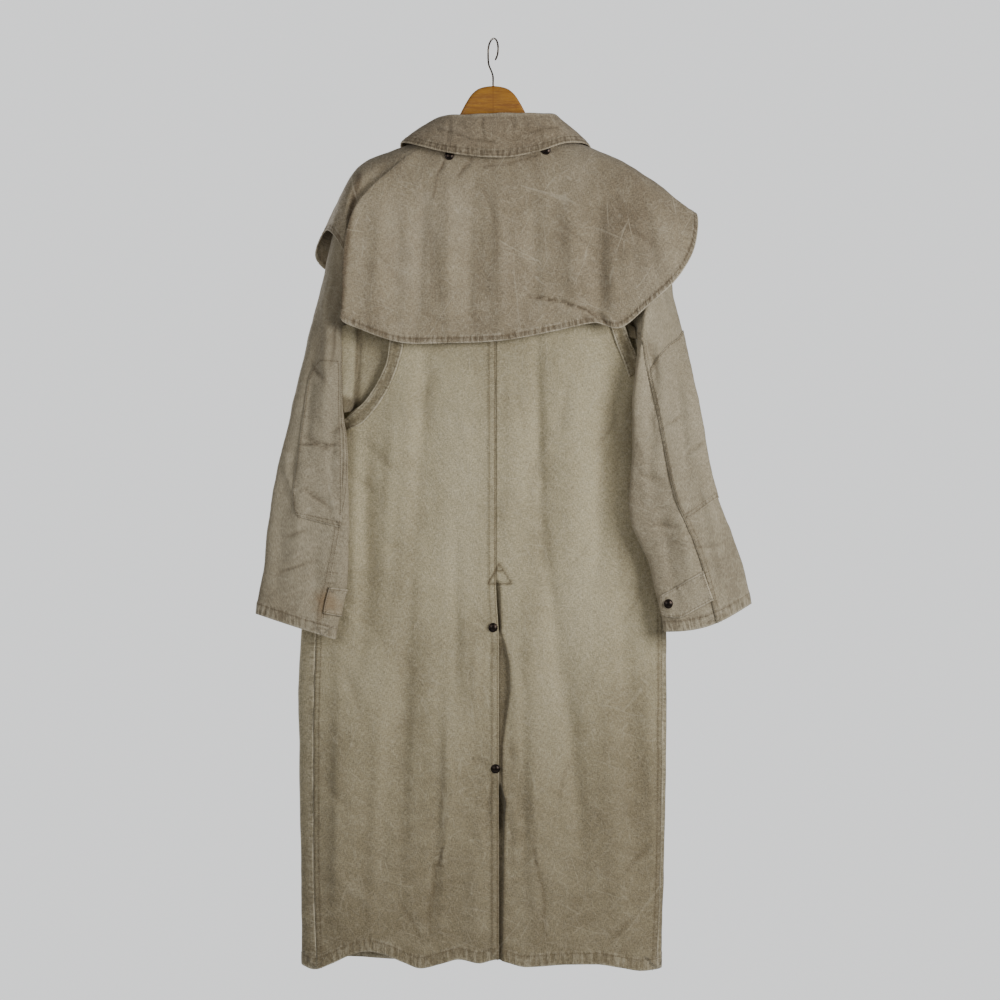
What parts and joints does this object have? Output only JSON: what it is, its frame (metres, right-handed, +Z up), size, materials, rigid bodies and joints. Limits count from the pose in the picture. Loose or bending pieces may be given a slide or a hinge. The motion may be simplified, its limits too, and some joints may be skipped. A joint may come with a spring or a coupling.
{
  "type": "duster coat on a wooden hanger with a wire hook",
  "caption": "Long canvas duster coat with a shoulder cape, collar, snapped back vent, elbow patches and cuff tabs, hung back outwards on a wooden hanger.",
  "frame": {"origin": "inside top of the hanger's hook, where a rail would touch it", "axes": "+Z up, +X to the image's right with the coat's back seen, +Y from the coat's back to its front"},
  "size_m": [0.7888, 0.1517, 1.503],
  "materials": {
    "canvas": "washed matt cotton canvas",
    "cape_canvas": "washed matt cotton canvas",
    "snap_metal": "blackened, soft gloss",
    "hanger_wood": "amber varnish, satin",
    "hook_wire": "dark wire, satin"
  },
  "bodies": {
    "root": {"armhole_band_left": "canvas", "armhole_band_right": "canvas", "back_left": "canvas", "back_right": "canvas", "cape": "cape_canvas", "collar_fall": "cape_canvas", "collar_snap_left": "snap_metal", "collar_snap_right": "snap_metal", "collar_stand": "cape_canvas", "cuff_snap_left": "snap_metal", "cuff_snap_right": "snap_metal", "cuff_tab_left": "canvas", "cuff_tab_right": "canvas", "elbow_patch_left": "canvas", "elbow_patch_right": "canvas", "front_left": "canvas", "front_right": "canvas", "front_snap_1": "snap_metal", "front_snap_2": "snap_metal", "front_snap_3": "snap_metal", "gusset_left": "canvas", "gusset_right": "canvas", "hanger_hook": "hook_wire", "hanger_wood": "hanger_wood", "sleeve_left_outer": "canvas", "sleeve_left_under": "canvas", "sleeve_right_outer": "canvas", "sleeve_right_under": "canvas", "vent_snap_lower": "snap_metal", "vent_snap_upper": "snap_metal"}
  },
  "joints": []
}
